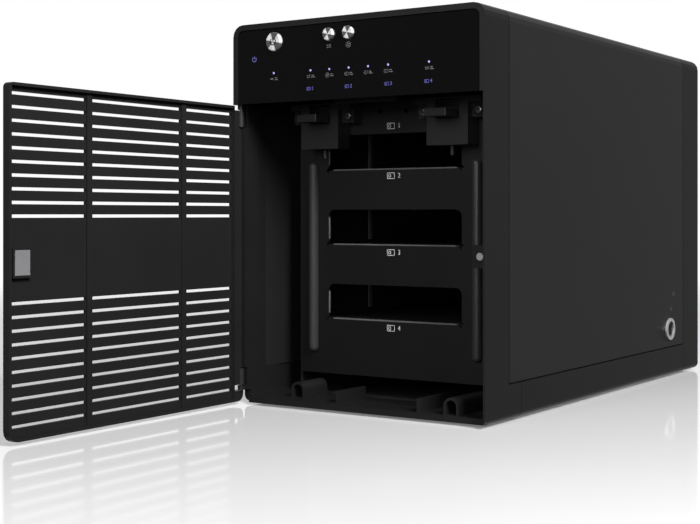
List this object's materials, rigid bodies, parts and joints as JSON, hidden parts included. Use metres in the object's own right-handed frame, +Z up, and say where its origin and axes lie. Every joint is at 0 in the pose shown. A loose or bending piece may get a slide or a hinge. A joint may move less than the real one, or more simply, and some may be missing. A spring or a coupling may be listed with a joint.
{
  "type": "nas enclosure",
  "caption": "Upright black drive enclosure with its slotted front door open, glossy control panel, latched drive cover, wrap-round sheet cover and rear fan.",
  "frame": {"origin": "centre of the housing underside", "axes": "+Z up, the front with its door faces -Y, +X is the right side seen from the front"},
  "size_m": [0.1362, 0.3645, 0.1732],
  "materials": {
    "black_plastic": "fine matte grain",
    "painted_sheet": "satin black powder coat",
    "gloss_panel": "piano black",
    "clear_plastic": "clear light guide",
    "spun_metal": "spun",
    "bright_steel": "plated",
    "circuit_board": "green mask",
    "foot_rubber": "matte"
  },
  "bodies": {
    "housing": {"front_bezel": "black_plastic", "base_tray": "black_plastic", "rear_frame": "black_plastic", "wrap_cover": "painted_sheet", "rear_panel": "painted_sheet", "panel_screw_1": "bright_steel", "panel_screw_2": "bright_steel", "panel_screw_3": "bright_steel", "panel_screw_4": "bright_steel", "fan_frame": "black_plastic", "fan_guard": "bright_steel", "fan_screw_1": "bright_steel", "fan_screw_2": "bright_steel", "fan_screw_3": "bright_steel", "fan_screw_4": "bright_steel", "fascia": "gloss_panel", "light_pipe": "clear_plastic", "front_board": "circuit_board", "hinge_pin_top": "bright_steel", "hinge_pin_bottom": "bright_steel", "magnet_holder": "black_plastic", "catch_magnet": "bright_steel", "cage_side_left": "painted_sheet", "cage_side_right": "painted_sheet", "cage_lid": "painted_sheet", "bay_shelf_1": "painted_sheet", "bay_shelf_2": "painted_sheet", "bay_shelf_3": "painted_sheet", "bay_shelf_4": "painted_sheet", "drive_cover": "painted_sheet", "latch_body_left": "black_plastic", "latch_body_right": "black_plastic", "latch_screw_left_1": "bright_steel", "latch_screw_left_2": "bright_steel", "latch_screw_right_1": "bright_steel", "latch_screw_right_2": "bright_steel", "backplane_board": "circuit_board", "drive_socket_1": "black_plastic", "drive_socket_2": "black_plastic", "drive_socket_3": "black_plastic", "drive_socket_4": "black_plastic", "main_board": "circuit_board", "data_socket": "bright_steel", "power_inlet": "black_plastic", "lock_ring": "bright_steel", "foot_1": "foot_rubber", "foot_2": "foot_rubber", "foot_3": "foot_rubber", "foot_4": "foot_rubber"},
    "door": {"door": "black_plastic", "door_strike": "bright_steel"},
    "rotor": {"fan_rotor": "black_plastic"},
    "power_key": {"power_button": "spun_metal"},
    "sync_key": {"sync_button": "spun_metal"},
    "speed_key": {"speed_button": "spun_metal"},
    "left_slider": {"latch_slider_left": "black_plastic"},
    "right_slider": {"latch_slider_right": "black_plastic"},
    "lock_core": {"lock_barrel": "bright_steel"}
  },
  "joints": [
    {"name": "door_hinge", "type": "hinge", "parent": "housing", "child": "door", "pos_m": [-0.0649, -0.1154, 0.068], "axis": [0, 0, 1], "range_deg": [0, 90]},
    {"name": "left_latch_lift", "type": "slide", "parent": "housing", "child": "left_slider", "axis": [0, 0, 1], "range_m": [0, 0.0045], "stiffness_N_per_m": 150, "springref_m": -0.003},
    {"name": "right_latch_lift", "type": "slide", "parent": "housing", "child": "right_slider", "axis": [0, 0, 1], "range_m": [0, 0.0045], "stiffness_N_per_m": 150, "springref_m": -0.003},
    {"name": "power_press", "type": "slide", "parent": "housing", "child": "power_key", "axis": [0, 1, 0], "range_m": [0, 0.001], "stiffness_N_per_m": 300, "springref_m": -0.0005},
    {"name": "sync_press", "type": "slide", "parent": "housing", "child": "sync_key", "axis": [0, 1, 0], "range_m": [0, 0.001], "stiffness_N_per_m": 300, "springref_m": -0.0005},
    {"name": "speed_press", "type": "slide", "parent": "housing", "child": "speed_key", "axis": [0, 1, 0], "range_m": [0, 0.001], "stiffness_N_per_m": 300, "springref_m": -0.0005},
    {"name": "fan_spin", "type": "hinge", "parent": "housing", "child": "rotor", "pos_m": [0, 0.101, 0.092], "axis": [0, 1, 0], "continuous": true},
    {"name": "lock_turn", "type": "hinge", "parent": "housing", "child": "lock_core", "pos_m": [0.0665, 0.0765, 0.0249], "axis": [1, 0, 0], "range_deg": [0, 90]}
  ]
}
